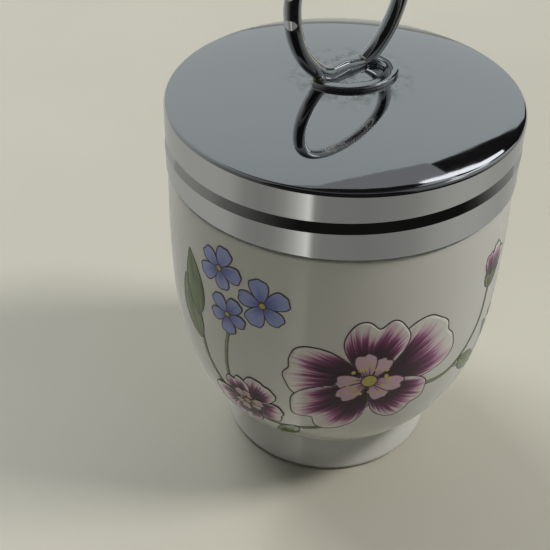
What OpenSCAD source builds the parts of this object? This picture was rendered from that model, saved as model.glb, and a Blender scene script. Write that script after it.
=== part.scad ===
// Porcelain egg coddler: a footed cup, a domed screw-on metal lid with a sealing ring
// under it, and a finger ring of bent wire standing on the lid. Millimetres, +Z up,
// origin at the middle of the foot, finger ring in the XZ plane.

/* [Cup] */
// Height of the porcelain rim above the table
rim_z = 81.6; // [76:0.1:86]
// Largest radius of the body
body_r = 35.5; // [34.8:0.1:36]
// Height at which the body is widest
belly_z = 55; // [50:1:58]
// Height that the bowl's curve would reach down from the belly, without the foot
bowl_depth = 50.4; // [48:0.1:52]
// Fullness of the bowl, where 2 is an ellipse and more is squarer
bowl_power = 3; // [2.4:0.1:3.4]
// Radius of the plain neck inside the lid
neck_r = 33.7; // [33:0.1:33.8]
// Height of the shoulder under the lid's edge
shoulder_z = 69.4; // [67:0.1:69.5]
// Radius of the opening
mouth_r = 30; // [28:0.1:31]
// Thickness of the cup's floor over the foot's hollow
floor_t = 4.2; // [3:0.1:6]

/* [Foot] */
// Radius of the waist between bowl and foot
waist_r = 23; // [22:0.1:24]
// Radius of the small curve from the bowl to the waist
waist_fillet = 2.2; // [1.5:0.1:3]
// Radius of the long flare below the waist
flare_r = 20.2; // [15:0.1:30]
// Radius of the rounded edge that meets the table
base_edge = 1.3; // [0.8:0.1:2]
// Width of the flat ring that the cup stands on
tread_w = 1.7; // [1:0.1:2.5]
// Depth of the hollow inside the foot
hollow_h = 4.6; // [4:0.1:6]

/* [Lid] */
// Outer radius at the shoulder
lid_r = 35; // [34.8:0.1:35.2]
// Height of the dome over the level of its edge
dome_h = 5; // [3:0.1:6]
// Level of the dome's edge, drawn out to the lid's radius
lid_z = 83.6; // [83.2:0.1:84]
// Length of the skirt below that level
skirt_h = 13.8; // [13:0.1:14]
// Thickness of the pressed sheet
sheet_t = 0.5; // [0.4:0.05:0.6]
// Radius of the turned-down shoulder
shoulder_r = 1.4; // [1:0.1:2]
// Depth of the groove rolled round the skirt
groove_d = 0.45; // [0.3:0.05:0.5]
// Top of the groove, below the level of the dome's edge
groove_top = 5.9; // [5:0.1:7]
// Height of the groove, from its sharp top to the end of its long flank
groove_h = 2.4; // [1.8:0.1:3]
// How much wider the skirt is at its lower edge
skirt_flare = 0.3; // [0:0.05:0.4]

/* [Sealing ring] */
// Thickness of the rubber
seal_t = 1.3; // [1:0.1:1.4]
// Inner radius
seal_in = 29.8; // [28:0.1:31]
// Outer radius
seal_out = 33.9; // [33:0.1:34]

/* [Finger ring] */
// Diameter of the wire
wire_d = 3.2; // [2.8:0.1:3.6]
// Radius of the top of the loop, to the middle of the wire
loop_r = 14; // [12.5:0.1:15]
// Height of the loop's widest place over the top of the dome
loop_rise = 16; // [15:0.1:17]
// Radius of the two sides that draw in towards the foot
side_r = 18; // [17:0.1:19]
// How far round its curve the right side runs to its cut end, in degrees
side_end_a = 64; // [58:1:66]
// Radius of the bend from the left side into the foot
bend_r = 5; // [3:0.1:8]
// Height of the round wire's middle over the top of the dome, where it lies along the foot
bar_rise = 0.65; // [0.5:0.05:0.8]
// Where the round wire ends on the foot, right of the middle
round_end_x = 1.6; // [0:0.1:2.5]
// Radius of the foot's half-round front, to the middle of the wire
foot_loop_r = 9.05; // [8.8:0.05:9.5]
// How far that curve's centre lies to the right of the middle, and behind it
foot_x = 0.9; // [0.5:0.1:1.2]
foot_y = 1.2; // [1:0.1:1.3]
// How far round the front runs to its end under the left side, in degrees
foot_end_a = 173; // [168:1:178]
// Radius of the turn between the foot's straight part and its half-round front
turn_r = 3.5; // [3:0.1:3.6]
// Width of the wire where it is pressed flat
press_w = 2.4; // [2:0.1:2.8]
// Thickness of the wire where it is pressed flat
press_t = 1.2; // [1:0.1:1.6]

/* [Hidden] */
$fn = 96;

// Facets of a curve in a profile
curve_steps = 14;
arc_steps = 6;
// Gaps that keep the pieces apart
seal_gap = 0.1;
seat_gap = 0.02;

// Points on a circle from angle a to angle b, in degrees
function arc_pts(cx, cy, r, a, b, n) =
    [for (i = [0:n]) let (t = a + (b - a) * i / n) [cx + r * cos(t), cy + r * sin(t)]];

// A list from its end to its start
function reversed(list) = [for (i = [len(list) - 1:-1:0]) list[i]];

// ---- Cup ----

// Radius of a bowl with the given belly radius and depth, at drop d below the belly
function bowl_r(r, depth, d) = r * pow(1 - pow(d / depth, bowl_power), 1 / bowl_power);

// Drop at which such a bowl has radius x
function bowl_drop(r, depth, x) = depth * pow(1 - pow(x / r, bowl_power), 1 / bowl_power);

// Angle of the bowl's wall from the vertical, at drop d
function bowl_angle(r, depth, d) =
    atan(r / depth * pow(d / depth * r / bowl_r(r, depth, d), bowl_power - 1));

// The bowl is left where its wall meets the fillet that ends at the waist
fillet_guess = waist_r + 0.37 * waist_fillet;
bowl_end_d = bowl_drop(body_r, bowl_depth, fillet_guess);
bowl_end_a = bowl_angle(body_r, bowl_depth, bowl_end_d);
bowl_end_r = bowl_r(body_r, bowl_depth, bowl_end_d);
waist_x = bowl_end_r - waist_fillet * (1 - cos(bowl_end_a));
waist_z = belly_z - bowl_end_d - waist_fillet * sin(bowl_end_a);

// The flare ends where the base edge takes over with the same slope
flare_a = asin((waist_z - base_edge) / (flare_r + base_edge));
flare_end_r = waist_x + flare_r * (1 - cos(flare_a));
edge_x = flare_end_r - base_edge * cos(flare_a);
tread_in = edge_x - tread_w;

// The body narrows a little from the belly up to the shoulder
shoulder_in = 0.5;
shoulder_round = 0.8;
body_top_r = body_r - shoulder_in;
neck_fillet = 0.5;
rim_round = 1.2;
// The mouth draws in this much from the bowl's inside
mouth_in = 1.3;
inside_r = mouth_r + mouth_in;
inside_depth = belly_z - hollow_h - floor_t;
hollow_round = 2;

module cup() {
    side_rise = shoulder_z - shoulder_round - belly_z;
    neck = concat(
        arc_pts(mouth_r + rim_round, rim_z - rim_round, rim_round, 180, 90, arc_steps),
        arc_pts(neck_r - rim_round, rim_z - rim_round, rim_round, 90, 0, arc_steps),
        arc_pts(neck_r + neck_fillet, shoulder_z + neck_fillet, neck_fillet, 180, 270, 4)
    );
    side = concat(
        arc_pts(body_top_r - shoulder_round, shoulder_z - shoulder_round, shoulder_round, 90, 0, arc_steps),
        [for (i = [1:5]) let (u = 1 - i / 5) [body_r - shoulder_in * u * u, belly_z + side_rise * u]]
    );
    bowl = [
        for (i = [1:curve_steps])
            let (t = 90 * i / curve_steps, d = bowl_end_d * sin(t))
                [bowl_r(body_r, bowl_depth, d), belly_z - d]
    ];
    foot = concat(
        arc_pts(waist_x + waist_fillet, waist_z, waist_fillet, 180 - bowl_end_a, 180, arc_steps),
        arc_pts(waist_x + flare_r, waist_z, flare_r, 180 + flare_a / 4, 180 + flare_a, 3),
        arc_pts(edge_x, base_edge, base_edge, flare_a, -90, arc_steps)
    );
    hollow = concat(
        [[tread_in, 0]],
        arc_pts(tread_in - 0.6 - hollow_round, hollow_h - hollow_round, hollow_round, 0, 90, 4),
        [[0, hollow_h]]
    );
    inside = concat(
        [[0, hollow_h + floor_t]],
        [for (i = [1:curve_steps])
            let (t = 90 * (1 - i / curve_steps), d = inside_depth * sin(t))
                [bowl_r(inside_r, inside_depth, d), belly_z - d]],
        [[inside_r, shoulder_z - 2]]
    );
    color("whitesmoke")
        rotate_extrude()
            polygon(concat(neck, side, bowl, foot, hollow, inside));
}

// ---- Sealing ring ----

module sealing_ring() {
    color("dimgray")
        translate([0, 0, rim_z + seal_gap])
            rotate_extrude()
                translate([seal_in, 0])
                    square([seal_out - seal_in, seal_t]);
}

// ---- Lid ----

// The dome is a cap of a sphere through its top and its edge
dome_r = (lid_r * lid_r + dome_h * dome_h) / (2 * dome_h);
dome_top = lid_z + dome_h;
dome_c = dome_top - dome_r;
// Where the shoulder's curve takes over from the dome with the same slope
shoulder_c = lid_r - shoulder_r;
dome_a = asin(shoulder_c / (dome_r - shoulder_r));
shoulder_cz = dome_c + (dome_r - shoulder_r) * cos(dome_a);
skirt_z = lid_z - skirt_h;
groove_z = lid_z - groove_top;
groove_end = groove_z - groove_h;
groove_lip = 0.35;
band_step = 0.1;

// Profile of the lid's surface, moved in by t
function lid_profile(t) = concat(
    [for (i = [0:curve_steps])
        let (a = dome_a * i / curve_steps) [(dome_r - t) * sin(a), dome_c + (dome_r - t) * cos(a)]],
    arc_pts(shoulder_c, shoulder_cz, shoulder_r - t, 90 - dome_a, 0, arc_steps),
    [
        [lid_r - t, groove_z],
        [lid_r - groove_d - t, groove_z - groove_lip],
        [lid_r - groove_d - t, groove_z - 2 * groove_lip],
        [lid_r + band_step - t, groove_end],
        [lid_r + skirt_flare - t, skirt_z]
    ]
);

module lid() {
    color("silver")
        rotate_extrude()
            polygon(concat(lid_profile(0), reversed(lid_profile(sheet_t))));
}

// ---- Finger ring ----

// One wire: it starts cut off on the foot, goes up the right side, over, down the left side
// and through a bend into the foot, which is pressed flat and runs half round in front
loop_z = dome_top + loop_rise;
side_x = side_r - loop_r;
bar_z = dome_top + bar_rise;
// The foot sinks this far below the dome's top before its underside is cut to the dome
foot_sink = 0.5;
foot_z = dome_top - foot_sink + press_t / 2;
// Where the left side's curve passes into the bend, and the bend's centre
bend_a = asin((loop_z - bar_z - bend_r) / (side_r - bend_r));
bend_x = side_x - (side_r - bend_r) * cos(bend_a);
// The pressed wire begins under the left side, where it is hidden
flat_start_x = bend_x - 1.8;
// Where the turn passes into the half-round front, and the turn's centre
turn_a = asin((turn_r + foot_y) / (foot_loop_r - turn_r));
turn_x = foot_x + sqrt(pow(foot_loop_r - turn_r, 2) - pow(turn_r + foot_y, 2));
// Curves that follow each other overlap by this many degrees or millimetres, and every other
// one is a hair slimmer, so that no two surfaces coincide
overlap_a = 1.5;
overlap = 0.1;
slim = 0.02;

module wire(d) {
    circle(d = d, $fn = 32);
}

module pressed_wire(w, t) {
    square([w - t, t], center = true);
    for (s = [-1, 1])
        translate([s * (w - t) / 2, 0])
            circle(d = t, $fn = 32);
}

// Arc of round wire in the XZ plane about (x, z), from angle a to angle b
module upright_arc(x, z, r, a, b, d) {
    translate([x, 0, z])
        rotate([90, 0, 0])
            rotate([0, 0, a])
                rotate_extrude(angle = b - a)
                    translate([r, 0])
                        wire(d);
}

// Arc of pressed wire in the foot's plane about (x, y), from angle a to angle b
module flat_arc(x, y, r, a, b, less) {
    translate([x, y, foot_z])
        rotate([0, 0, a])
            rotate_extrude(angle = b - a)
                translate([r, 0])
                    pressed_wire(press_w - less, press_t - less);
}

module upright_loop() {
    upright_arc(0, loop_z, loop_r, -overlap_a, 180 + overlap_a, wire_d);
    upright_arc(-side_x, loop_z, side_r, -side_end_a, 0, wire_d - slim);
    upright_arc(side_x, loop_z, side_r, 180, 180 + bend_a, wire_d - slim);
    upright_arc(bend_x, bar_z + bend_r, bend_r, 180 + bend_a - overlap_a, 270 + overlap_a, wire_d);
    translate([bend_x, 0, bar_z])
        rotate([0, 90, 0])
            cylinder(h = round_end_x - bend_x, d = wire_d - slim, $fn = 32);
    translate([round_end_x, 0, bar_z])
        sphere(d = wire_d, $fn = 32);
}

module flat_foot() {
    translate([flat_start_x, 0, foot_z])
        rotate([90, 0, 90])
            linear_extrude(turn_x + overlap - flat_start_x)
                pressed_wire(press_w, press_t);
    flat_arc(turn_x, -turn_r, turn_r, -turn_a, 90, slim);
    flat_arc(foot_x, foot_y, foot_loop_r, -foot_end_a, -turn_a + overlap_a, 0);
}

module finger_ring() {
    color("lightsteelblue")
        difference() {
            union() {
                upright_loop();
                flat_foot();
            }
            translate([0, 0, dome_c])
                sphere(r = dome_r + seat_gap, $fn = 240);
        }
}

cup();
sealing_ring();
lid();
finger_ring();
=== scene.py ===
# Porcelain egg coddler: a printed porcelain cup, its plated screw cap with a finger ring,
# and the rubber ring between them. Sizes of the pieces are in millimetres. What is in a
# material, and the table, light and camera, is in metres.
import math

import bmesh
import bpy
import numpy as np
from mathutils import Matrix, Vector


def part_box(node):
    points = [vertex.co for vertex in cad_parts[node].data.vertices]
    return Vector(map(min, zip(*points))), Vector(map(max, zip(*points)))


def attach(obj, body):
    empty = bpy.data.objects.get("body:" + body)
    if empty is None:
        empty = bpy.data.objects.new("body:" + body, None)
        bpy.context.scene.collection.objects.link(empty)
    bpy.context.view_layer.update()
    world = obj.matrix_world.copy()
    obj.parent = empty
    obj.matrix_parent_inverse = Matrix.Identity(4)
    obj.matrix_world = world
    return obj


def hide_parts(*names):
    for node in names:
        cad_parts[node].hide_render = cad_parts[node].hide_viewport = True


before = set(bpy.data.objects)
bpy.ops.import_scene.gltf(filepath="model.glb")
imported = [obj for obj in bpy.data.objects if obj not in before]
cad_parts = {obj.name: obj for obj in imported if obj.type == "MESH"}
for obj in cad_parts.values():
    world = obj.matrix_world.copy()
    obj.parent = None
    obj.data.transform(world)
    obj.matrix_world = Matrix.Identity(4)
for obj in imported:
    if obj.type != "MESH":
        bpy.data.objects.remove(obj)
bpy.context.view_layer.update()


# ------------------------------------------------------------------------------- Cup
# One piece of cast porcelain with a footed bowl and a screw neck. It is glazed all over
# but for the ground ring that it stands on, and fired before the print goes on.

MM = 0.001
CIRCLE = 2 * math.pi
AROUND = 288
cup_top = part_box("cup")[1] / MM
rim_z = cup_top.z
body_r = cup_top.x
belly_z = 55.0
bowl_depth = 50.4
bowl_power = 3.0
shoulder_z = 69.4
shoulder_in = 0.5
shoulder_round = 0.8
mouth_r = 30.0
mouth_in = 1.3
inside_straight = 4.0
rim_round = 1.2
floor_t = 4.2
waist_r = 23.0
waist_fillet = 2.2
waist_reach = 0.37
flare_r = 20.2
base_edge = 1.3
tread_w = 1.7
tread_edge = 0.2
hollow_draft = 0.6
hollow_h = 4.6
hollow_round = 2.0

# The neck under the cap, and the raised thread on it
neck_root_r = 33.3
neck_fillet = 0.9
thread_pitch = 4.5
thread_high = 0.9
thread_half_w = 1.15
thread_blunt = 1.3
thread_front_z = 78.35
thread_run_out = 0.35
front_az = math.radians(225)
back_az = front_az - math.pi

# Firing leaves the wall a little out of round, and it shrinks by about the print's thickness.
# Nothing moves inside the core, so that the floor's middle stays whole.
unround = 0.035
three_lobes = 0.6
shrunk = 0.09
core_r = 12.0

GLAZE = (0.66, 0.65, 0.61, 1)
# A darker, greener glaze: painted shade in the waist and under the shoulder, and the glaze's own random
# clouds
GLAZE_SHADE_AND_CLOUD = (0.55, 0.57, 0.55, 1)
BISCUIT = (0.62, 0.58, 0.51, 1)
SPECK = (0.16, 0.12, 0.09, 1)
GLAZE_IOR = 1.52


def arc(cx, cy, r, start, end, steps):
    """Points of an arc about (cx, cy) from the angle start to the angle end, in degrees."""
    turn = np.radians(np.linspace(start, end, steps + 1))
    return np.stack([cx + r * np.cos(turn), cy + r * np.sin(turn)], 1)


def line(start, end, steps):
    """Points from start to end, without the start."""
    share = np.linspace(0, 1, steps + 1)[1:, None]
    return np.array(start) * (1 - share) + np.array(end) * share


def eased(share):
    """A share from 0 to 1 that starts and ends softly."""
    return share * share * (3 - 2 * share)


def bowl_r(r, depth, drop):
    """Radius of a bowl of the given widest radius and depth, at a drop below its belly."""
    return r * (1 - (drop / depth) ** bowl_power) ** (1 / bowl_power)


def bowl_drop(r, depth, x):
    """Drop at which such a bowl has the radius x."""
    return depth * (1 - (x / r) ** bowl_power) ** (1 / bowl_power)


def bowl_angle(r, depth, drop):
    """Angle of the bowl's wall from the vertical at a drop, in degrees."""
    steep = r / depth * (drop / depth * r / bowl_r(r, depth, drop)) ** (bowl_power - 1)
    return math.degrees(math.atan(steep))


# The bowl is left where its wall meets the fillet that ends at the waist
bowl_end_d = bowl_drop(body_r, bowl_depth, waist_r + waist_reach * waist_fillet)
bowl_end_a = bowl_angle(body_r, bowl_depth, bowl_end_d)
waist_x = bowl_r(body_r, bowl_depth, bowl_end_d) - waist_fillet * (1 - math.cos(math.radians(bowl_end_a)))
waist_z = belly_z - bowl_end_d - waist_fillet * math.sin(math.radians(bowl_end_a))
flare_a = math.degrees(math.asin((waist_z - base_edge) / (flare_r + base_edge)))
flare_cos = math.cos(math.radians(flare_a))
edge_x = waist_x + flare_r * (1 - flare_cos) - base_edge * flare_cos
tread_in = edge_x - tread_w
inside_r = mouth_r + mouth_in
inside_depth = belly_z - hollow_h - floor_t


def bowl(r, depth, end_drop, steps):
    """The bowl's curve from its belly down to a drop, without the belly's own point."""
    drop = end_drop * np.sin(np.radians(np.linspace(0, 90, steps + 1)[1:]))
    return np.stack([bowl_r(r, depth, drop), belly_z - drop], 1)


def side(steps):
    """The wall from the shoulder down to the belly, which draws in a little towards the top."""
    up = np.linspace(1, 0, steps + 1)[1:]
    rise = shoulder_z - shoulder_round - belly_z
    return np.stack([body_r - shoulder_in * up * up, belly_z + rise * up], 1)


def throat(steps):
    """The inside from the bowl up to the mouth, drawn in along a soft S."""
    up = np.linspace(0, 1, steps + 1)[1:]
    start_z = belly_z + inside_straight
    return np.stack([inside_r - mouth_in * eased(up), start_z + (rim_z - rim_round - start_z) * up], 1)


def cup_profile():
    """The cup's cut face, from the middle of its inner floor over the rim to the foot's hollow."""
    top_r = body_r - shoulder_in - shoulder_round
    hollow_r = tread_in - hollow_draft
    return np.concatenate([
        bowl(inside_r, inside_depth, inside_depth, 56)[::-1],
        line((inside_r, belly_z), (inside_r, belly_z + inside_straight), 3),
        throat(16),
        arc(mouth_r + rim_round, rim_z - rim_round, rim_round, 180, 90, 7)[1:],
        arc(neck_root_r - rim_round, rim_z - rim_round, rim_round, 90, 0, 7),
        line((neck_root_r, rim_z - rim_round), (neck_root_r, shoulder_z + neck_fillet), 40),
        arc(neck_root_r + neck_fillet, shoulder_z + neck_fillet, neck_fillet, 180, 270, 5)[1:],
        arc(top_r, shoulder_z - shoulder_round, shoulder_round, 90, 0, 7),
        side(14),
        bowl(body_r, bowl_depth, bowl_end_d, 60),
        arc(waist_x + waist_fillet, waist_z, waist_fillet, 180 - bowl_end_a, 180, 8)[1:],
        arc(waist_x + flare_r, waist_z, flare_r, 180, 180 + flare_a, 9)[1:],
        arc(edge_x, base_edge, base_edge, flare_a, -90, 9),
        line((edge_x, 0), (tread_in + tread_edge, 0), 3),
        [(tread_in, tread_edge)],
        line((tread_in, tread_edge), (hollow_r, hollow_h - hollow_round), 3),
        arc(hollow_r - hollow_round, hollow_h - hollow_round, hollow_round, 0, 90, 6)[1:],
        line((hollow_r - hollow_round, hollow_h), (0, hollow_h), 8),
    ])


def out_of_round(angle, height):
    """What firing does to the wall's radius: nothing at the foot, most at the belly, always inwards."""
    low = np.clip(np.asarray(height) / belly_z, 0, 1)
    wave = np.cos(2 * angle + 0.7) + three_lobes * np.cos(3 * angle - 0.4 + height * 0.03)
    return low * (unround * (wave / (1 + three_lobes) - 1) - shrunk)


def turns_from_front(angle):
    """How far to the right of the front an angle lies, in turns from -0.5 to 0.5."""
    return np.mod(angle - back_az, CIRCLE) / CIRCLE - 0.5


def with_thread(angle, radius, height):
    """Raises the thread on the neck, running out at both its ends at the back."""
    turns = turns_from_front(angle)
    near = np.clip(np.abs(height - thread_front_z - thread_pitch * turns) / thread_half_w, 0, 1)
    run_out = eased(np.clip((0.5 - np.abs(turns)) * CIRCLE / thread_run_out, 0, 1))
    ridge = thread_high * (0.5 + 0.5 * np.cos(np.pi * near ** thread_blunt)) * run_out
    on_neck = np.abs(radius - neck_root_r) < 0.01
    return radius + ridge * on_neck + out_of_round(angle, height) * (radius > core_r), height


def set_out(name, data):
    """Puts a mesh, lamp or camera in the scene as an object."""
    piece = bpy.data.objects.new(name, data)
    bpy.context.scene.collection.objects.link(piece)
    return piece


def solid(name, finish, points, faces, merge=False, maps=None):
    """A closed, smooth mesh of points in millimetres. maps gives UV maps, a (u, v) for each point."""
    mesh = bpy.data.meshes.new(name)
    mesh.materials.append(finish)
    mesh.from_pydata((np.asarray(points) * MM).tolist(), [], faces)
    shape = bmesh.new()
    shape.from_mesh(mesh)
    if merge:
        bmesh.ops.remove_doubles(shape, verts=shape.verts, dist=2e-6)
    bmesh.ops.recalc_face_normals(shape, faces=shape.faces)
    shape.to_mesh(mesh)
    shape.free()
    corners = [corner.vertex_index for corner in mesh.loops]
    for label, places in (maps or {}).items():
        layer = mesh.uv_layers.new(name=label)
        layer.uv.foreach_set("vector", np.asarray(places, float)[corners].ravel())
    mesh.shade_smooth()
    return set_out(name, mesh)


def faces_over(rows, columns, rows_close=False, columns_close=False):
    """Faces over a grid of points, given row after row, that may close on itself either way."""
    faces = []
    for i in range(rows if rows_close else rows - 1):
        here, there = i * columns, (i + 1) % rows * columns
        for j in range(columns if columns_close else columns - 1):
            k = (j + 1) % columns
            faces.append((here + j, there + j, there + k, here + k))
    return faces


def turned_solid(name, finish, profile, shape=None, around=AROUND, ring=False):
    """Turns a profile of (radius, height) round the axis. shape moves its points by their angle, and
    ring says that the profile closes on itself."""
    profile = np.asarray(profile, float)
    angle = np.linspace(0, CIRCLE, around, endpoint=False)[:, None]
    radius = np.repeat(profile[None, :, 0], around, 0)
    height = np.repeat(profile[None, :, 1], around, 0)
    if shape:
        radius, height = shape(angle, radius, height)
    points = np.stack([radius * np.cos(angle), radius * np.sin(angle), height], 2).reshape(-1, 3)
    return solid(name, finish, points, faces_over(around, len(profile), True, ring), merge=True)


def feed(tree, inputs, values):
    """Links or sets inputs by their names."""
    for name, value in values.items():
        if isinstance(value, bpy.types.NodeSocket):
            tree.links.new(value, inputs[name])
        else:
            inputs[name].default_value = value


def add(tree, kind, inputs=None, **settings):
    """Adds a node with its settings, and its inputs' values or links."""
    made = tree.nodes.new(kind)
    for name, value in settings.items():
        setattr(made, name, value)
    feed(tree, made.inputs, inputs or {})
    return made


def maths(tree, operation, *values):
    """The result of a Math node on values or sockets."""
    return add(tree, "ShaderNodeMath", dict(enumerate(values)), operation=operation).outputs[0]


def times(tree, first, second):
    return maths(tree, "MULTIPLY", first, second)


def plus(tree, first, second):
    return maths(tree, "ADD", first, second)


def minus(tree, first, second):
    return maths(tree, "SUBTRACT", first, second)


def between(tree, value, low, high, to_low=0.0, to_high=1.0):
    """Maps value smoothly from low..high to to_low..to_high."""
    made = add(tree, "ShaderNodeMapRange", {
        "Value": value, "From Min": low, "From Max": high, "To Min": to_low, "To Max": to_high},
        interpolation_type="SMOOTHSTEP")
    return made.outputs["Result"]


def spot_on(tree):
    """Where the surface lies in the object's own frame, in metres."""
    return add(tree, "ShaderNodeTexCoord").outputs["Object"]


def parts_of(tree, vector):
    """A vector's X, Y and Z."""
    return add(tree, "ShaderNodeSeparateXYZ", {0: vector}).outputs


def noise(tree, place, scale, detail=3.0, rough=0.5):
    """Noise at a place, from 0 to 1."""
    return add(tree, "ShaderNodeTexNoise", {
        "Vector": place, "Scale": scale, "Detail": detail, "Roughness": rough}).outputs["Fac"]


def mixed(tree, share, first, second, blend="MIX"):
    """A colour between two, by share."""
    made = add(tree, "ShaderNodeMix", {0: share, 6: first, 7: second}, data_type="RGBA", blend_type=blend)
    return made.outputs[2]


def raised(tree, strength, distance, height):
    """The normal of a surface that is raised by a height."""
    return add(tree, "ShaderNodeBump", {
        "Strength": strength, "Distance": distance, "Height": height}).outputs[0]


def specks(tree, place, scale, size, chosen):
    """A mask of round specks in those cells of a pattern whose draw is in the chosen range."""
    cell = add(tree, "ShaderNodeTexVoronoi", {"Vector": place, "Scale": scale}).outputs
    draw = add(tree, "ShaderNodeSeparateColor", {0: cell["Color"]}).outputs[0]
    return times(tree, between(tree, cell["Distance"], *size), between(tree, draw, *chosen))


def effect(name, numbers, results):
    """An empty shader group with number inputs of default values, and outputs of the given kinds."""
    tree = bpy.data.node_groups.new(name, "ShaderNodeTree")
    for label, value in numbers.items():
        tree.interface.new_socket(label, in_out="INPUT", socket_type="NodeSocketFloat").default_value = value
    for label, kind in results.items():
        tree.interface.new_socket(label, in_out="OUTPUT", socket_type="NodeSocket" + kind)
    return tree, tree.nodes.new("NodeGroupInput").outputs, tree.nodes.new("NodeGroupOutput").inputs


def finish_of(name):
    """A new material, its tree and the inputs of its shader."""
    material = bpy.data.materials.new(name)
    material.use_nodes = True
    return material, material.node_tree, material.node_tree.nodes["Principled BSDF"].inputs


def placed(tree, group, **numbers):
    """Puts an effect in a material with its own values, and gives its outputs."""
    return add(tree, "ShaderNodeGroup", numbers, node_tree=group).outputs


# Fired glaze isn't flat: it has a slow ripple, a fine skin, and a wipe of handling on it
glaze_skin, given, out = effect(
    "glaze_skin", {"Ripple": 1.0, "Gloss": 0.1}, {"Normal": "Vector", "Roughness": "Float"})
tree = glaze_skin
place = spot_on(tree)
height = plus(tree, noise(tree, place, 55, 1), times(tree, noise(tree, place, 420, 2), 0.05))
handled = between(tree, noise(tree, place, 38, 4, 0.6), 0.42, 0.72)
feed(tree, out, {"Normal": raised(tree, given["Ripple"], 0.00018, height),
                 "Roughness": plus(tree, given["Gloss"], times(tree, handled, 0.07))})

porcelain, tree, shader = finish_of("glazed_porcelain")
place = spot_on(tree)
height = parts_of(tree, place)["Z"]
facing = parts_of(tree, add(tree, "ShaderNodeNewGeometry").outputs["Normal"])["Z"]
skin = placed(tree, glaze_skin, Ripple=0.5, Gloss=0.09)
# Painted shade: the glaze is made darker and greener into the waist and under the shoulder, where shade
# falls; the random clouds of the same tone over the wall are the glaze's own
waist_shade, neck_shade = [
    between(tree, maths(tree, "ABSOLUTE", minus(tree, height, middle * MM)), reach, 0.0)
    for middle, reach in ((waist_z, 0.0045), (shoulder_z, 0.0016))]
cloud = between(tree, noise(tree, place, 26, 3), 0.35, 0.7)
shade_and_cloud = times(tree, maths(tree, "MAXIMUM", waist_shade, neck_shade), 0.75)
shade_and_cloud = maths(tree, "MAXIMUM", shade_and_cloud, times(tree, cloud, 0.22))
colour = mixed(tree, shade_and_cloud, GLAZE, GLAZE_SHADE_AND_CLOUD)
# A few iron specks show in the body
iron = specks(tree, place, 260.0, (0.14, 0.05), (0.988, 0.992))
colour = mixed(tree, times(tree, iron, 0.8), colour, SPECK)
# The tread is ground bare, and a little grey from standing
low = between(tree, height, 0.00042, 0.00024)
bare = times(tree, low, between(tree, facing, -0.55, -0.9))
grime = mixed(tree, noise(tree, place, 900, 4), BISCUIT, (0.42, 0.39, 0.34, 1))
rough = add(tree, "ShaderNodeMix", {0: bare, 2: skin["Roughness"], 3: 0.75}).outputs[0]
feed(tree, shader, {"Base Color": mixed(tree, bare, colour, grime), "Roughness": rough,
                    "Normal": skin["Normal"], "IOR": GLAZE_IOR})

cup = turned_solid("porcelain_cup", porcelain, cup_profile(), with_thread)
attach(cup, "cup")
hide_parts("cup")


# -------------------------------------------------------------------- Flower print
# Sprays of flowers in ceramic ink, laid on the fired glaze as a slide and fired again. They
# are thin films of ink: a large open blossom, a bud, small blue flowers, leaves and stems.

INK_OUT = 0.02
INK_IN = 0.06
INK_STEP = 0.007
LINE_W = 0.27
WALL_STEP = 0.3

# The wall from the waist up to the shoulder, by the length along it
wall = np.concatenate([
    bowl(body_r, bowl_depth, bowl_end_d, 300)[::-1], [(body_r, belly_z)], side(40)[::-1][1:],
    [(body_r - shoulder_in, shoulder_z - shoulder_round)]])
wall_up = np.concatenate([[0], np.cumsum(np.hypot(*np.diff(wall, axis=0).T))])
prints = {}


def wall_at(up, column=0):
    """The wall's radius at lengths up the wall, or its height there with column 1."""
    return np.interp(up, wall_up, wall[:, column])


def on_wall(angle, up):
    """Points on the glaze and the directions out of it, at angles and lengths up the wall."""
    below, above = up - WALL_STEP, up + WALL_STEP
    slope = np.arctan2(wall_at(below) - wall_at(above), wall_at(above, 1) - wall_at(below, 1))
    height = wall_at(up, 1)
    radius = wall_at(up) + out_of_round(angle, height)
    point = np.stack([radius * np.cos(angle), radius * np.sin(angle), height], -1)
    level = np.cos(slope)
    return point, np.stack([level * np.cos(angle), level * np.sin(angle), np.sin(slope)], -1)


def lay(ink, spot, grid, layer, tone=0.0):
    """Lays one patch of ink. grid holds rows of flat points across the patch, each running along it.
    spot is (spray's angle, right, up, turn, size): where the patch's own origin comes on the cup."""
    spray_az, right, up, turn, size = spot
    grid = np.asarray(grid, float) * size
    x = grid[..., 0] * math.cos(turn) - grid[..., 1] * math.sin(turn)
    y = grid[..., 0] * math.sin(turn) + grid[..., 1] * math.cos(turn) + up
    angle = spray_az + right / wall_at(up) + x / wall_at(y)
    point, out = on_wall(angle, y)
    lift = INK_OUT + INK_STEP * layer
    n, m = grid.shape[:2]
    store = prints.setdefault(ink, {"points": [], "faces": [], "drawing": [], "patch": [], "count": 0})
    first, back = store["count"], n * m
    for quad in faces_over(n, m):
        store["faces"] += [tuple(first + k for k in quad), tuple(first + back + k for k in reversed(quad))]
    edge = [i * m for i in range(n)] + [(n - 1) * m + j for j in range(1, m)]
    edge += [i * m + m - 1 for i in range(n - 2, -1, -1)] + list(range(m - 2, 0, -1))
    for a, b in zip(edge, edge[1:] + edge[:1]):
        store["faces"].append((first + b, first + a, first + a + back, first + b + back))
    across, along = np.meshgrid(np.linspace(0, 1, n), np.linspace(0, 1, m), indexing="ij")
    seed = len(store["points"]) * 0.37
    for depth in (lift, -INK_IN):
        store["points"].append((point + out * depth).reshape(-1, 3))
        store["drawing"].append(np.stack([across.ravel(), along.ravel()], 1))
        store["patch"].append(np.tile([seed, tone], (n * m, 1)))
    store["count"] += 2 * n * m


def unit(vectors):
    """The vectors at length 1."""
    return vectors / np.maximum(np.linalg.norm(vectors, axis=1, keepdims=True), 1e-9)


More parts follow.
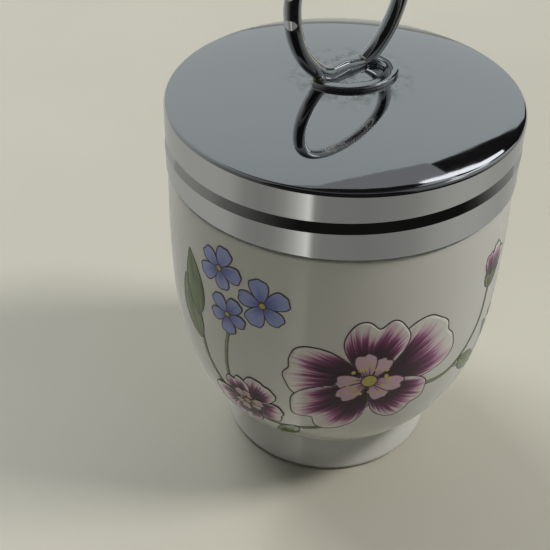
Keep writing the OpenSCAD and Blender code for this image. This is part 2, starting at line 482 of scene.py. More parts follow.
def through(knots):
    """A smooth path through given points."""
    steps = 12
    knots = np.array(knots, float)
    padded = np.concatenate([[2 * knots[0] - knots[1]], knots, [2 * knots[-1] - knots[-2]]])
    path = []
    for a, b, c, d in zip(padded, padded[1:], padded[2:], padded[3:]):
        for t in np.linspace(0, 1, steps, endpoint=False):
            path.append(0.5 * (2 * b + (c - a) * t + (2 * a - 5 * b + 4 * c - d) * t ** 2
                               + (3 * b - a - 3 * c + d) * t ** 3))
    return np.array(path + [knots[-1]])


def stroke(ink, spot, path, width, layer):
    """A line of ink along a path. width is one number, or one for each end with an even taper."""
    path = np.asarray(path, float)
    along = unit(np.gradient(path, axis=0))
    aside = np.stack([-along[:, 1], along[:, 0]], 1)
    half = np.linspace(*np.broadcast_to(width, 2), len(path))[:, None] / 2
    lay(ink, spot, [path + aside * half * k for k in (-1, 0, 1)], layer)


def outline(spot, path, layer, share=1.0):
    """A drawn line just over a layer. share is its width as a share of the usual, like a stroke's."""
    stroke("line", spot, path, np.multiply(share, LINE_W / spot[4]), layer + 0.5)


def petal(ink, spot, reach, aim, spread, layer, tone, notch, bend=0.0):
    """A petal fanned out from the origin: its aim and half its spread in degrees, a notch in its lip."""
    across = np.linspace(-0.985, 0.985, 55)
    along = np.linspace(0.05, 1, 24)[None, :]
    lip = reach * (1 - np.abs(across) ** 3.0) ** 0.5 * (1 - notch * np.exp(-(across / 0.13) ** 2))
    lip = lip * (1 + 0.018 * np.sin(across * 11 + aim))
    angle = np.radians(aim + spread * across[:, None] + bend * along ** 2)
    grid = np.stack([np.cos(angle), np.sin(angle)], -1) * (lip[:, None] * along)[..., None]
    lay(ink, spot, grid, layer, tone)
    outline(spot, np.concatenate([grid[0, :-1], grid[:, -1], grid[-1, -2::-1]]), layer)


def dot(spot, r, layer, tone, outlined=True):
    """A round dot of pollen about the origin."""
    u, v = np.meshgrid(np.linspace(-1, 1, 15), np.linspace(-1, 1, 15), indexing="ij")
    disc = np.stack([u * np.sqrt(1 - v * v / 2), v * np.sqrt(1 - u * u / 2)], -1)
    lay("pollen", spot, disc * r, layer, tone)
    if outlined:
        turn = np.linspace(0, CIRCLE, 41)
        outline(spot, np.stack([np.cos(turn), np.sin(turn)], 1) * r, layer)


def leaf(ink, spot, long, wide, curl, layer, tone):
    """A leaf from the origin up, curling to the right by curl, with its rib and outline."""
    along = np.linspace(0.0, 1, 27)
    rib = np.stack([curl * along ** 2, long * along], 1)
    way = unit(np.gradient(rib, axis=0))
    aside = np.stack([way[:, 1], -way[:, 0]], 1)
    half = wide / 2 * np.sin(math.pi * np.clip(along, 0.004, 0.996) ** 0.82) ** 0.8
    grid = [rib + aside * (half * k)[:, None] for k in np.linspace(-1, 1, 13)]
    lay(ink, spot, grid, layer, tone)
    outline(spot, np.concatenate([grid[0], grid[-1][::-1]]), layer, 0.9)
    outline(spot, rib[:-3], layer, (0.8, 0.4))


def stem(ink, spot, knots, thick, thin):
    """A stem through given points, dark at its edges."""
    path = through(knots)
    stroke("line", spot, path, (thick + LINE_W, thin + LINE_W), 0)
    stroke(ink, spot, path, (thick - 0.1, thin - 0.1), 1)


def blossom(spot, layer, reach, start, squash):
    """An open blossom: broad outer petals, a ring of small inner ones, and a heart of stamens."""
    petals, stamens = 5, 17
    for k in range(petals):
        aim = start + 360 / petals * k
        lean = 1 + 0.10 * math.sin(2.3 * k + start) - squash * abs(math.sin(math.radians(aim)))
        petal("petal", spot, reach * lean, aim, 218 / petals, layer + k, 0.35 + 0.3 * (k * 0.618 % 1),
              0.07 + 0.05 * (k % 2), 7 * (-1) ** k)
    top = layer + petals + 1
    for k in range(petals + 1):
        aim = start + 30 + 360 / (petals + 1) * k
        petal("blush", spot, reach * (0.35 + 0.05 * (k % 2)), aim, 30, top + k, 0.5, 0.05, 9 * (-1) ** k)
    top += petals + 2
    for k in range(stamens):
        turn = math.radians(360 / stamens * k + 8 * math.sin(5.1 * k))
        out = np.array([math.cos(turn), math.sin(turn)])
        far = reach * (0.20 + 0.03 * math.sin(3.7 * k))
        stroke("line", spot, [out * reach * 0.08, out * far], (0.16, 0.12), top)
        dot(moved(spot, *(out * far)), 0.42, top + 1, 0.3, outlined=False)
    dot(spot, reach * 0.085, top + 1, 0.8)


def moved(spot, right, up, turn=0.0):
    """A spot moved on from another in that one's own directions, and turned in degrees."""
    spray_az, x, y, old_turn, size = spot
    dx = (right * math.cos(old_turn) - up * math.sin(old_turn)) * size
    dy = (right * math.sin(old_turn) + up * math.cos(old_turn)) * size
    return spray_az, x + dx, y + dy, old_turn + math.radians(turn), size


def blue_flower(spot, layer):
    """A small blue flower of five rounded petals about a pale eye."""
    for k in range(5):
        petal("blue", spot, 5.6 * (1 + 0.06 * (-1) ** k), 90 + 72 * k, 37, layer + k, 0.3 + 0.15 * k, 0.0)
    dot(spot, 0.75, layer + 6, 0.6)


def bud(spot, layer):
    """A closed bud on the end of a stem: wrapped petals in a green cup."""
    for aim, spread, reach, tone in ((112, 19, 8.6, 0.8), (68, 19, 8.2, 0.6), (90, 17, 9.6, 0.7)):
        petal("petal", spot, reach, aim, spread, layer, tone, 0.0)
        layer += 1
    for turn, long in ((38, 5.0), (-38, 5.0), (0, 4.2)):
        leaf("green", moved(spot, 0, -0.6, turn), long, 2.1, 0.0, layer, 0.6)
        layer += 1


def spray(spray_az, size, mirror):
    """One spray: its stems first, then leaves, then the flowers over them."""
    def spot(right, up, turn=0.0, scale=1.0):
        return spray_az, right * mirror * size, up, math.radians(turn * mirror), scale * size

    for ink, knots, thick, thin in (
            ("green", [(11, 28), (2, 17.5), (-9, 13.5), (-19, 17), (-27, 26), (-30, 38)], 1.15, 0.7),
            ("green", [(-15, 14.6), (-21, 24), (-21.5, 35), (-19, 44.5)], 0.8, 0.55),
            ("green", [(13, 29), (27, 27), (36, 35), (38, 45)], 1.0, 0.65),
            ("teal", [(29, 27.6), (38, 24), (46, 27), (52, 35)], 0.6, 0.4)):
        stem(ink, (spray_az, 0.0, 0.0, 0.0, 1.0), [(x * mirror * size, y) for x, y in knots], thick, thin)
    leaf("green", spot(-29.5, 31, 24), 15, 6.6, 1.5, 3, 0.4)
    leaf("green", spot(-30, 37.5, 4), 15.5, 6.0, -1.2, 4, 0.7)
    leaf("green", spot(-5.5, 14.6, 150), 8.6, 4.0, 0.6, 3, 0.5)
    leaf("green", spot(31, 28.5, -128), 11, 4.8, 0.8, 3, 0.55)
    leaf("teal", spot(44, 25.8, 30), 9, 3.0, -0.6, 3, 0.5)
    leaf("teal", spot(51, 33.5, -20), 11, 3.6, 0.8, 3, 0.5)
    leaf("teal", spot(49, 30, 62), 8, 2.8, 0.5, 4, 0.5)
    bud(spot(38.2, 45, -8), 5)
    blue_flower(spot(-13.0, 49.0, 12), 6)
    blue_flower(spot(-23.0, 53.5, -20, 0.9), 11)
    blue_flower(spot(-21.0, 43.2, 40, 0.82), 16)
    blossom(spot(8.5, 32.5, 0), 8, 19.0, 20, 0.14)
    blossom(spot(-16.5, 19.5, 0, 0.64), 20, 15.5, 52, 0.22)


spray(front_az, 1.0, 1)
spray(front_az + math.radians(176), 0.86, -1)


def map_at(tree, label):
    """Where a point lies on a UV map, as X and Y."""
    return parts_of(tree, add(tree, "ShaderNodeUVMap", uv_map=label).outputs[0])


def joined(tree, x, y, z):
    """A vector of three values."""
    return add(tree, "ShaderNodeCombineXYZ", {0: x, 1: y, 2: z}).outputs[0]


def ramped(tree, share, stops):
    """The colour at a share along a ramp of (position, colour) stops."""
    ramp = add(tree, "ShaderNodeValToRGB", {"Fac": share})
    marks = ramp.color_ramp.elements
    while len(marks) < len(stops):
        marks.new(0.5)
    for mark, (position, colour) in zip(marks, stops):
        mark.position = position
        mark.color = (*colour, 1)
    return ramp.outputs["Color"]


# Ceramic ink is fired colour in dots: it breaks up a little where it is thin
ink_grain, given, out = effect("ink_grain", {"Coarse": 900.0, "Depth": 0.2}, {"Strength": "Float"})
tree = ink_grain
grain = noise(tree, spot_on(tree), given["Coarse"], 3, 0.7)
feed(tree, out, {"Strength": plus(tree, times(tree, minus(tree, grain, 0.5), given["Depth"]), 1.0)})

# Strokes that fan along a petal from its heart: dark at the heart, feathered to nothing
brush_fan, given, out = effect(
    "brush_fan", {"Reach": 0.5, "Feather": 0.34, "Strokes": 30.0}, {"Ink": "Float", "Streak": "Float"})
tree = brush_fan
drawing, patch = map_at(tree, "drawing"), map_at(tree, "patch")
fan = joined(tree, times(tree, drawing["X"], given["Strokes"]), times(tree, drawing["Y"], 1.3),
             times(tree, patch["X"], 9.0))
streak = noise(tree, fan, 1.0, 2, 0.55)
swell = noise(tree, joined(tree, times(tree, drawing["X"], 3.0), 0.0, patch["X"]), 1.0, 1)
reach = given["Reach"]
for wander, amount in ((swell, 0.5), (streak, 0.62), (patch["Y"], 0.3)):
    reach = plus(tree, reach, times(tree, minus(tree, wander, 0.5), amount))
ink = maths(tree, "DIVIDE", minus(tree, reach, drawing["Y"]), given["Feather"])
feed(tree, out, {"Ink": between(tree, ink, 0.0, 1.6), "Streak": streak})


def ink_of(name, colours, brush):
    """Fired ink under gloss, veined, or in brush strokes where brush gives numbers for them."""
    material, tree, shader = finish_of(name)
    if brush:
        fan = placed(tree, brush_fan, **brush)
        share, streak = fan["Ink"], fan["Streak"]
    else:
        drawing, patch = map_at(tree, "drawing"), map_at(tree, "patch")
        veins = joined(tree, times(tree, drawing["X"], 7.5), times(tree, drawing["Y"], 2.4),
                       times(tree, patch["X"], 7.0))
        streak = noise(tree, veins, 1.0, 2, 0.5)
        share = between(tree, plus(tree, streak, times(tree, patch["Y"], 0.25)), 0.35, 0.95)
    body = ramped(tree, share, list(zip(np.linspace(0, 1, len(colours)), colours)))
    fine = between(tree, streak, 0.36, 0.5, 0.74, 1.0)
    fine = add(tree, "ShaderNodeMix", {0: share, 2: 1.0, 3: fine}).outputs[0]
    strength = times(tree, placed(tree, ink_grain)["Strength"], fine)
    skin = placed(tree, glaze_skin, Ripple=0.5, Gloss=0.13)
    feed(tree, shader, {"Base Color": mixed(tree, 1.0, body, strength, "MULTIPLY"),
                        "Roughness": skin["Roughness"], "Normal": skin["Normal"], "IOR": GLAZE_IOR})
    return material


# Each ink's colours from bare to full strength, and its brush strokes where it has them
INKS = {
    "petal": ([(0.70, 0.68, 0.63), (0.60, 0.40, 0.50), (0.30, 0.075, 0.20), (0.13, 0.025, 0.08),
               (0.04, 0.010, 0.025)], {"Reach": 1.0}),
    "blush": ([(0.60, 0.40, 0.48), (0.42, 0.19, 0.31), (0.20, 0.05, 0.13)],
              {"Reach": 0.6, "Feather": 0.5, "Strokes": 16}),
    "blue": ([(0.30, 0.35, 0.66), (0.15, 0.18, 0.50), (0.07, 0.085, 0.32)],
             {"Reach": 0.8, "Feather": 0.7, "Strokes": 12}),
    "green": ([(0.22, 0.29, 0.10), (0.13, 0.19, 0.06), (0.08, 0.13, 0.04)], None),
    "teal": ([(0.26, 0.38, 0.34), (0.16, 0.27, 0.24)], None),
    "pollen": ([(0.62, 0.52, 0.16), (0.42, 0.36, 0.08)], None),
    "line": ([(0.075, 0.045, 0.05), (0.045, 0.025, 0.03)], None),
}
for ink, store in prints.items():
    points = np.concatenate(store["points"])
    film = solid("print_" + ink, ink_of(ink + "_ink", *INKS[ink]), points, store["faces"], maps={
        "drawing": np.concatenate(store["drawing"]), "patch": np.concatenate(store["patch"])})
    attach(film, "cup")


# ------------------------------------------------------------------- Sealing ring
# A flat ring of moulded rubber, held inside the cap by its own stretch. The cap presses it
# on the cup's rim. It is black, a little bloomed, with rounded edges.

seal_low, seal_high = (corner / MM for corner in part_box("sealing_ring"))
seal_in = 29.8
seal_round = 0.35

rubber, tree, shader = finish_of("moulded_rubber")
place = spot_on(tree)
bloom = between(tree, noise(tree, place, 160, 5, 0.65), 0.45, 0.75)
feed(tree, shader, {
    "Base Color": mixed(tree, bloom, (0.028, 0.026, 0.024, 1), (0.075, 0.07, 0.066, 1)),
    "Roughness": between(tree, bloom, 0, 1, 0.5, 0.68),
    "Normal": raised(tree, 0.4, 0.00005, noise(tree, place, 2200, 2))})

corners = [(seal_high.x, seal_low.z, 1, -1), (seal_high.x, seal_high.z, 1, 1),
           (seal_in, seal_high.z, -1, 1), (seal_in, seal_low.z, -1, -1)]
seal_profile = np.concatenate([
    arc(x - sx * seal_round, z - sz * seal_round, seal_round, start, start + 90, 5)
    for (x, z, sx, sz), start in zip(corners, (-90, 0, 90, 180))])
seal = turned_solid("rubber_seal", rubber, seal_profile, around=160, ring=True)
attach(seal, "seal")
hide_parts("sealing_ring")


# --------------------------------------------------------------------------- Lid
# The cap is drawn from thin brass sheet, its thread rolled into the skirt, then polished and
# plated. It carries fine scratches from wiping, and smudges where the ring is brazed on.

lid_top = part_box("lid")[1] / MM
lid_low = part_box("lid")[0].z / MM
lid_r = 35.0
dome_h = 5.0
sheet_t = 0.5
lid_shoulder = 0.9
lid_z = lid_top.z - dome_h
skirt_flare = 0.3
groove_d = 0.45
groove_step = 0.36
groove_flat = 0.3
groove_flank = 1.95
groove_out = 0.1
groove_fade = 6.0
groove_run_out = 0.05
# The groove's sharp top comes here at the front, and climbs to the right like the thread
groove_front_z = lid_z - 5.6
groove_turns = 1.16

dome_r = (lid_r ** 2 + dome_h ** 2) / (2 * dome_h)
dome_c = lid_top.z - dome_r
round_c = lid_r - lid_shoulder
dome_a = math.degrees(math.asin(round_c / (dome_r - lid_shoulder)))
round_z = dome_c + (dome_r - lid_shoulder) * math.cos(math.radians(dome_a))


def lid_face(inset, steps):
    """The cap's face in (dome, shoulder, skirt) steps, moved in by an inset."""
    dome = arc(0, dome_c, dome_r - inset, 90, 90 - dome_a, steps[0])
    turned_down = arc(round_c, round_z, lid_shoulder - inset, 90 - dome_a, 0, steps[1])[1:]
    skirt = line((lid_r - inset, round_z), (lid_r + skirt_flare - inset, lid_low + sheet_t / 2), steps[2])
    return np.concatenate([dome, turned_down, skirt])


def with_groove(angle, radius, height):
    """Rolls the groove into the skirt: a sharp step in at its top, then a long flank out again."""
    moved_in = np.zeros_like(radius)
    for lap in (-1, 0, 1):
        turns = turns_from_front(angle) + lap
        below = groove_front_z + thread_pitch * turns - height
        ends = eased(np.clip((groove_turns / 2 - np.abs(turns)) / groove_run_out, 0, 1))
        depth = groove_d * eased(np.clip(below / groove_step, 0, 1))
        flank_top = groove_step + groove_flat
        flank = np.interp(below, [flank_top, flank_top + groove_flank, groove_fade],
                          [0, groove_d + groove_out, groove_d])
        moved_in += (depth - flank) * ends
    on_skirt = height < round_z - 0.05
    return radius - moved_in * on_skirt, height


lid_edge = arc(lid_r + skirt_flare - sheet_t / 2, lid_low + sheet_t / 2, sheet_t / 2, 0, -180, 6)[1:-1]
lid_profile = np.concatenate([lid_face(0, (44, 12, 216)), lid_edge, lid_face(sheet_t, (20, 6, 72))[::-1]])

# Polished plating is never clean: fine wiping scratches, a soft haze of handling, stray marks
plate_wear, given, out = effect(
    "plate_wear", {"Gloss": 0.04, "Haze": 0.1, "Scratches": 1.0},
    {"Normal": "Vector", "Roughness": "Float", "Smear": "Float"})
tree = plate_wear
place = spot_on(tree)
haze = between(tree, noise(tree, place, 60, 6, 0.62), 0.48, 0.78)
mark = 0.0
for turn, scale in ((0.35, 1.0), (1.3, 1.35), (2.35, 0.8)):
    way = add(tree, "ShaderNodeMapping", {"Vector": place, "Rotation": (0.2 * turn, 0, turn),
                                          "Scale": (90 * scale, 2600 * scale, 400)}).outputs[0]
    hair = between(tree, noise(tree, way, 1.0, 1, 0.4), 0.70, 0.80)
    sparse = between(tree, noise(tree, place, 140 * scale, 2), 0.52, 0.66)
    mark = maths(tree, "MAXIMUM", mark, times(tree, hair, sparse))
mark = times(tree, mark, given["Scratches"])
height = minus(tree, noise(tree, place, 75, 1), times(tree, mark, 0.02))
rough = plus(tree, given["Gloss"], times(tree, haze, given["Haze"]))
feed(tree, out, {"Normal": raised(tree, 0.25, 0.00006, height), "Smear": haze,
                 "Roughness": plus(tree, rough, times(tree, mark, 0.12))})

PLATE = (0.60, 0.61, 0.63, 1)
PLATE_DULL = (0.48, 0.48, 0.48, 1)
PLATE_SMUDGED = (0.37, 0.365, 0.355, 1)
BRAZED_AT = (-0.0005, -0.0015, 0.0886)
lid_plate, tree, shader = finish_of("plated_sheet")
place = spot_on(tree)
wear = placed(tree, plate_wear, Gloss=0.035, Haze=0.05, Scratches=1.0)
# Heat and flux have left a smudged patch round the foot of the ring
away = add(tree, "ShaderNodeVectorMath", {0: place, 1: BRAZED_AT}, operation="DISTANCE").outputs["Value"]
blotch = between(tree, noise(tree, place, 480, 6, 0.7), 0.44, 0.62)
smudge = times(tree, between(tree, away, 0.0145, 0.0065), blotch)
feed(tree, shader, {
    "Base Color": mixed(tree, smudge, PLATE, PLATE_SMUDGED), "Metallic": 1.0, "Normal": wear["Normal"],
    "Roughness": plus(tree, wear["Roughness"], times(tree, smudge, 0.2))})

lid = turned_solid("plated_lid", lid_plate, lid_profile, with_groove, around=256)
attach(lid, "lid")
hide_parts("lid")


# ------------------------------------------------------------------- Finger ring
# One length of round wire, bent to a loop for a finger and pressed flat where it lies on the
# cap. The flat foot runs half round at the front, and both ends are brazed down, then plated.

wire_d = 3.2
press_t = 1.2
loop_r = 14.0
loop_rise = 16.0
side_r = 18.0
side_end_a = 64.0
bend_r = 5.0
bar_rise = 0.65
foot_loop_r = 9.05
foot_x = 0.9
foot_y = 1.2
foot_end_a = 173.0
turn_r = 3.5
foot_sink = 0.5
seat = 0.12
end_bevel = 0.3
AROUND_WIRE = 36
WIRE_STEP = 0.35

loop_z = lid_top.z + loop_rise
side_x = side_r - loop_r
bar_z = lid_top.z + bar_rise
foot_z = lid_top.z - foot_sink + press_t / 2
bend_a = math.degrees(math.asin((loop_z - bar_z - bend_r) / (side_r - bend_r)))
bend_x = side_x - (side_r - bend_r) * math.cos(math.radians(bend_a))
turn_a = math.degrees(math.asin((turn_r + foot_y) / (foot_loop_r - turn_r)))
turn_x = foot_x + math.sqrt((foot_loop_r - turn_r) ** 2 - (turn_r + foot_y) ** 2)

# Each run: its points, and whether it stands up or lies on the cap
runs = [
    (arc(-side_x, loop_z, side_r, -side_end_a, 0, int(20 / WIRE_STEP)), "up"),
    (arc(0, loop_z, loop_r, 0, 180, int(44 / WIRE_STEP))[1:], "up"),
    (arc(side_x, loop_z, side_r, 180, 180 + bend_a, int(17 / WIRE_STEP))[1:], "up"),
    (arc(bend_x, bar_z + bend_r, bend_r, 180 + bend_a, 270, 12)[1:], "up"),
    (line((bend_x, 0), (turn_x, 0), 30), "flat"),
    (arc(turn_x, -turn_r, turn_r, 90, -turn_a, 26)[1:], "flat"),
    (arc(foot_x, foot_y, foot_loop_r, -turn_a, -foot_end_a, int(21 / WIRE_STEP))[1:], "flat"),
]
middle = np.concatenate([
    [(x, 0, y) for x, y in points] if way == "up" else [(x, y, foot_z) for x, y in points]
    for points, way in runs])
upright = np.concatenate([[way == "up"] * len(points) for points, way in runs])
length = np.concatenate([[0], np.cumsum(np.linalg.norm(np.diff(middle, axis=0), axis=1))])
run_end = length[np.cumsum([len(points) for points, way in runs]) - 1]
# From the bend on, the wire is pressed: its width, thickness and rise over the foot's plane
bend_end, bar_end, turn_end, foot_end = run_end[3:]
stations = [bend_end - 3, bend_end, (bend_end + bar_end) / 2, bar_end, (bar_end + turn_end) / 2,
            turn_end, foot_end]
width = np.interp(length, stations, [wire_d, 2.9, 2.6, 2.8, 3.0, 2.7, 2.2])
thick = np.interp(length, stations, [wire_d, 2.7, 2.2, 1.8, 1.5, 1.3, 1.2])
rise = np.interp(length, stations, [0.55, 0.55, 0.85, 0.5, 0.15, 0, 0])
boxy = np.interp(length, [bend_end - 3, bend_end + 1], [1.0, 0.74])
roll = np.radians(np.interp(length, stations, [0, 14, 24, 16, 6, 0, 0]))[:, None]
middle[:, 2] += np.where(upright, 0, rise)
along = unit(np.gradient(middle, axis=0))
aside = unit(np.where(upright[:, None], [0.0, 1.0, 0.0], np.cross([0, 0, 1.0], along)))
inward = np.cross(along, aside)
aside, inward = aside * np.cos(roll) + inward * np.sin(roll), inward * np.cos(roll) - aside * np.sin(roll)


def wire_section(station, shrink):
    """The wire's section there as (aside, inward) offsets: round, or oval with flatter faces."""
    turn = np.linspace(0, CIRCLE, AROUND_WIRE, endpoint=False)
    way = np.stack([np.cos(turn), np.sin(turn)], 1)
    half = np.array([width[station], thick[station]]) / 2 - shrink
    return np.sign(way) * np.abs(way) ** boxy[station] * half


rings = []
last = len(middle) - 1
# Both ends are bevelled: each cut is its station, how far on it lies, and how much smaller it is
cuts = [(0, 0.0, end_bevel), (0, end_bevel, 0.0)]
cuts += [(i, 0.0, 0.0) for i in range(2, last - 1)]
cuts += [(last, -end_bevel, 0.0), (last, 0.0, end_bevel)]
for station, ahead, shrink in cuts:
    section = wire_section(station, shrink)
    centre = middle[station] + along[station] * ahead
    rings.append(centre + section[:, :1] * aside[station] + section[:, 1:] * inward[station])
points = np.concatenate(rings)
over_dome = np.sqrt(np.maximum(dome_r ** 2 - points[:, 0] ** 2 - points[:, 1] ** 2, 0)) + dome_c
points[:, 2] = np.maximum(points[:, 2], over_dome - seat)
faces = faces_over(len(rings), AROUND_WIRE, columns_close=True)
faces += [tuple(range(AROUND_WIRE)), tuple(range(len(points) - AROUND_WIRE, len(points)))]

wire_plate, tree, shader = finish_of("plated_wire")
wear = placed(tree, plate_wear, Gloss=0.045, Haze=0.09, Scratches=0.8)
feed(tree, shader, {
    "Base Color": mixed(tree, times(tree, wear["Smear"], 0.45), PLATE, PLATE_DULL), "Metallic": 1.0,
    "Roughness": wear["Roughness"], "Normal": wear["Normal"]})

ring = solid("plated_finger_ring", wire_plate, points, faces)
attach(ring, "lid")
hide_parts("finger_ring")


# ------------------------------------------------------------------------- Braze
# Filler metal run into the two joints of the ring's foot. It has wetted the wire and the cap,
# and lies in small uneven fillets that the plating has dulled and browned.

braze_metal, tree, shader = finish_of("plated_braze")
place = spot_on(tree)
stain = between(tree, noise(tree, place, 900, 5, 0.7), 0.4, 0.65)
feed(tree, shader, {
    "Base Color": mixed(tree, stain, (0.52, 0.50, 0.47, 1), (0.30, 0.24, 0.19, 1)), "Metallic": 1.0,
    "Roughness": between(tree, stain, 0, 1, 0.12, 0.38),
    "Normal": raised(tree, 0.6, 0.00012, noise(tree, place, 1400, 4, 0.6))})

fillets = [
    ("braze_left", (-7.3, -0.5, 88.9), (1.5, 1.3, 1.2)),
    ("braze_right", (3.9, 0.1, 89.5), (1.2, 1.2, 0.9)),
]
for name, centre, size in fillets:
    lump = bmesh.new()
    bmesh.ops.create_icosphere(lump, subdivisions=4, radius=1.0)
    for vert in lump.verts:
        x, y, z = vert.co
        swell = 1 + 0.10 * math.sin(3.1 * x + 1.3 * centre[0]) * math.cos(2.7 * y)
        swell += 0.06 * math.sin(5.3 * z + 2.1 * y)
        spot = Vector([mid + way * half * swell for mid, way, half in zip(centre, vert.co, size)])
        floor_here = math.sqrt(dome_r ** 2 - spot.x ** 2 - spot.y ** 2) + dome_c - seat
        spot.z = max(spot.z, floor_here)
        vert.co = spot * MM
    mesh = bpy.data.meshes.new(name)
    lump.to_mesh(mesh)
    lump.free()
    mesh.materials.append(braze_metal)
    mesh.shade_smooth()
    braze = set_out(name, mesh)
    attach(braze, "lid")


# -------------------------------------------------------------- Table and light
# A plain pale table top, a soft lamp high on the right, a wide one behind on the left, and a
# sky that is lighter behind. Glowing cards that only reflections see paint the plating's tones: bright
# ones paint highlights, dark ones paint shade and dark surroundings, and a sheet on the table paints
# the table's reflection with a painted shadow and a painted streak of light.

floor_half = 3.0
aim_z = 0.06
card_rise = 0.0012


def sheet(name, finish, points, faces):
    """An open mesh of points in metres."""
    mesh = bpy.data.meshes.new(name)
    mesh.materials.append(finish)
    mesh.from_pydata(points, [], faces)
    return set_out(name, mesh)


laminate, tree, shader = finish_of("pale_table")
place = spot_on(tree)
mottle = between(tree, noise(tree, place, 5, 3), 0.3, 0.7)
base = mixed(tree, mottle, (0.50, 0.48, 0.405, 1), (0.54, 0.52, 0.44, 1))
nick = specks(tree, place, 34.0, (0.030, 0.012), (0.72, 0.74))
feed(tree, shader, {
    "Base Color": mixed(tree, times(tree, nick, 0.35), base, (0.2, 0.18, 0.15, 1)),
    "Roughness": between(tree, noise(tree, place, 90, 3), 0, 1, 0.30, 0.42),
    "Normal": raised(tree, 0.15, 0.0001, noise(tree, place, 500, 2))})
corners = [(x * floor_half, y * floor_half, 0) for x, y in ((-1, -1), (1, -1), (1, 1), (-1, 1))]
table = sheet("table", laminate, corners, [(0, 1, 2, 3)])


def facing_cup(azimuth, elevation, distance):
    """Where a thing stands at that azimuth and elevation from the cup, and its turn towards it."""
    az, el = math.radians(azimuth), math.radians(elevation)
    way = Vector((math.cos(el) * math.cos(az), math.cos(el) * math.sin(az), math.sin(el)))
    return way * distance + Vector((0, 0, aim_z)), way.to_track_quat("Z", "Y").to_euler()


def lamp(name, azimuth, elevation, distance, wide, high, power, colour):
    """A soft lamp turned to the cup, which reflections don't show."""
    light = bpy.data.lights.new(name, "AREA")
    light.shape = "RECTANGLE"
    light.size = wide
    light.size_y = high
    light.energy = power
    light.color = colour
    holder = set_out(name, light)
    holder.location, holder.rotation_euler = facing_cup(azimuth, elevation, distance)
    holder.visible_glossy = False


lamp("window", 318, 47, 1.9, 0.4, 0.3, 22.0, (1.0, 0.985, 0.95))
lamp("room", 90, 43, 1.5, 0.8, 0.7, 13.5, (0.97, 0.985, 1.0))


def glowing(name):
    """A new material that only shines, its tree, and the input for the colour it shines in."""
    material, tree, shader = finish_of(name)
    feed(tree, shader, {"Base Color": (0, 0, 0, 1), "Specular IOR Level": 0.0, "Emission Strength": 1.0})
    return material, tree, shader["Emission Color"]


def card_tone(name, level):
    """A surface of one even brightness."""
    material, tree, light = glowing(name)
    light.default_value = (level, level * 1.01, level * 1.03, 1)
    return material


def card(name, tone, low, high, distance=6.4):
    """A curved card round the cup from a low edge to a high one, each a list of (azimuth, elevation).
    With no distance it lies on the table."""
    steps = 64
    share = np.linspace(0, 1, steps)
    edges = [np.stack([np.interp(share, np.linspace(0, 1, len(edge)), column) for column in zip(*edge)], 1)
             for edge in (low, high)]
    places = []
    for up in share:
        for az, el in edges[0] * (1 - up) + edges[1] * up:
            far = distance or (card_rise - aim_z) / math.sin(math.radians(el))
            places.append(tuple(facing_cup(az, el, far)[0]))
    piece = sheet(name, tone, places, faces_over(steps, steps))
    piece.visible_camera = False
    piece.visible_diffuse = False
    piece.visible_shadow = False


def band(name, tone, azimuths, elevations, distance=6.4):
    """A card with level and upright edges."""
    (left, right), (low, high) = azimuths, elevations
    card(name, tone, [(left, low), (right, low)], [(left, high), (right, high)], distance)


def round_tone(name, stops):
    """A surface whose brightness changes with the azimuth, by (azimuth, level) stops."""
    material, tree, light = glowing(name)
    place = parts_of(tree, spot_on(tree))
    turned = maths(tree, "ARCTAN2", place["Y"], place["X"])
    share = maths(tree, "FRACT", maths(tree, "DIVIDE", turned, CIRCLE))
    marks = [(azimuth / 360, (level, level * 0.995, level * 0.91)) for azimuth, level in stops]
    tree.links.new(ramped(tree, share, marks), light)
    return material


# Glowing cards that only reflections see, painting the plating's reflections: black and grey ones paint shade
# and dark surroundings, bright ones paint highlights
card_black = card_tone("card_black", 0.008)
card_grey = card_tone("card_grey", 0.195)
card_painted_highlight = card_tone("card_painted_highlight", 1.3)
card("card_over_far", card_black,
     [(14, 57.5), (20, 59.7), (26, 63), (35, 65.7), (45, 66.8), (61, 68), (80, 70), (100, 72)],
     [(14, 89.5), (100, 89.5)])
# A painted dark reflection overhead, darker the higher it goes
overhead, tree, light = glowing("card_overhead")
high_up = between(tree, parts_of(tree, spot_on(tree))["Z"], 5.3, 6.2)
tree.links.new(mixed(tree, high_up, (0.12, 0.12, 0.125, 1), (0.02, 0.02, 0.021, 1)), light)
band("card_over_near", overhead, (100, 368), (54, 89.5))
band("card_over_right", card_black, (368, 374), (61, 89.5))
# A grey card that paints a soft grey zone into the dome's reflection
card("card_soft", card_grey,
     [(13, 51.9), (20, 51.9), (21, 52.3), (23.3, 54.5), (26.5, 56.8), (31.5, 59.4), (37.5, 61.7),
      (44.5, 63.4), (52.4, 64.6), (61, 65.4), (80, 66.6), (100, 67.6)],
     [(13, 80), (100, 80)], 6.6)
card("card_right", card_black, [(-12, 2), (-12, 51.9)],
     [(15.8, 2), (15.8, 15), (15.8, 28), (15.6, 33.6), (15.9, 37.7), (16.4, 42.3), (17.3, 46.2), (18.7, 49.8),
      (19.8, 51.9)])
# Bright cards that paint highlights: a crescent on the lid's shoulder, a glint on the ring's bar, and glints
# on the ring like the window lamp's, which reflections don't show
card("card_crescent", card_painted_highlight, [(6, 37), (8, 44), (9.5, 49), (11.5, 53.5), (15, 58)],
     [(11.4, 37), (12.0, 44), (13.2, 49), (15.1, 53.5), (18.2, 58)], 6.2)
band("card_bar", card_painted_highlight, (345, 360), (42, 56), 6.2)
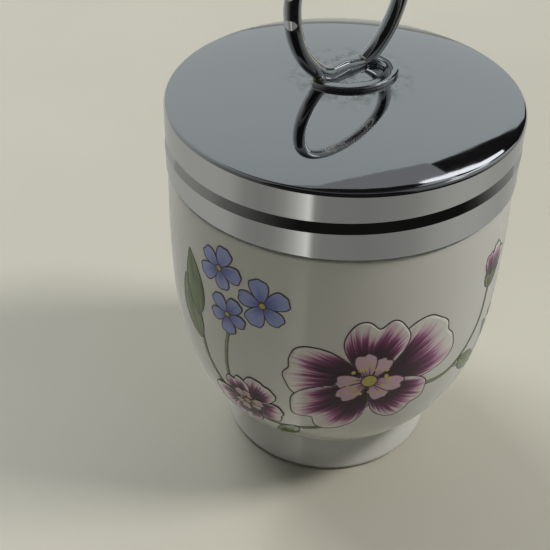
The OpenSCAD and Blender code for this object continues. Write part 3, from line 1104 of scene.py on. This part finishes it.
band("card_window", card_painted_highlight, (312, 324), (42, 52), 6.2)
# A black card that paints the shade on the camera side into the reflections
band("card_front", card_black, (180, 270), (8, 57))
# A low ring round the cup that only reflections see: it paints the surroundings' reflection, darkest on the
# camera side, where it paints shade
fence = round_tone("card_fence", [
    (110, 0.44), (118, 0.43), (122, 0.30), (140, 0.27), (157, 0.21), (166.5, 0.13), (177, 0.09),
    (186.5, 0.05), (198, 0.02), (207, 0.008), (289, 0.008), (298, 0.03), (306, 0.09), (318, 0.19),
    (332, 0.27)])
band("card_fence", fence, (110, 342), (-6, 17.5), 0.1)
# A sheet lying on the table that only reflections see: it paints the table's reflection, with a painted
# shadow on the camera side and a painted streak of light near 206 to 210 degrees
painted_table_reflection = round_tone("card_painted_table_reflection", [
    (121, 0.41), (150, 0.42), (161, 0.40), (172, 0.28), (181, 0.25), (190, 0.265), (196, 0.33), (202, 0.48),
    (206, 0.65), (210, 0.84), (213, 0.30), (218, 0.245), (240, 0.23), (254, 0.25), (268, 0.285), (283, 0.39),
    (297, 0.44), (312, 0.445), (326, 0.40), (337, 0.38), (351, 0.40)])
band("card_painted_table_reflection", painted_table_reflection, (0, 360), (-64, -13), 0.0)

sky = bpy.data.worlds.new("sky")
sky.use_nodes = True
bpy.context.scene.world = sky
tree = sky.node_tree
way = parts_of(tree, add(tree, "ShaderNodeTexCoord").outputs["Generated"])
far_side = plus(tree, times(tree, way["X"], 0.707), times(tree, way["Y"], 0.707))
share = between(tree, far_side, -0.9, 0.9)
feed(tree, tree.nodes["Background"].inputs, {
    "Color": mixed(tree, share, (0.05, 0.05, 0.05, 1), (0.39, 0.42, 0.42, 1)), "Strength": 1.0})


# ------------------------------------------------------------------------ Camera
# The photograph's view: from the front left and above, near enough to crop the ring's top.

camera_data = bpy.data.cameras.new("camera")
camera_data.sensor_width = 36.0
camera_data.lens = 62.2
camera = set_out("camera", camera_data)
right = Vector((0.766227, -0.642457, 0.012029)).normalized()
up = Vector((0.397671, 0.488822, 0.776474))
up = (up - right * up.dot(right)).normalized()
back = right.cross(up)
turned_to = Matrix((right, up, back)).transposed().to_4x4()
camera.matrix_world = Matrix.Translation((-0.11755, -0.11755, 0.17228)) @ turned_to
bpy.context.scene.camera = camera
bpy.context.scene.view_settings.view_transform = "Standard"
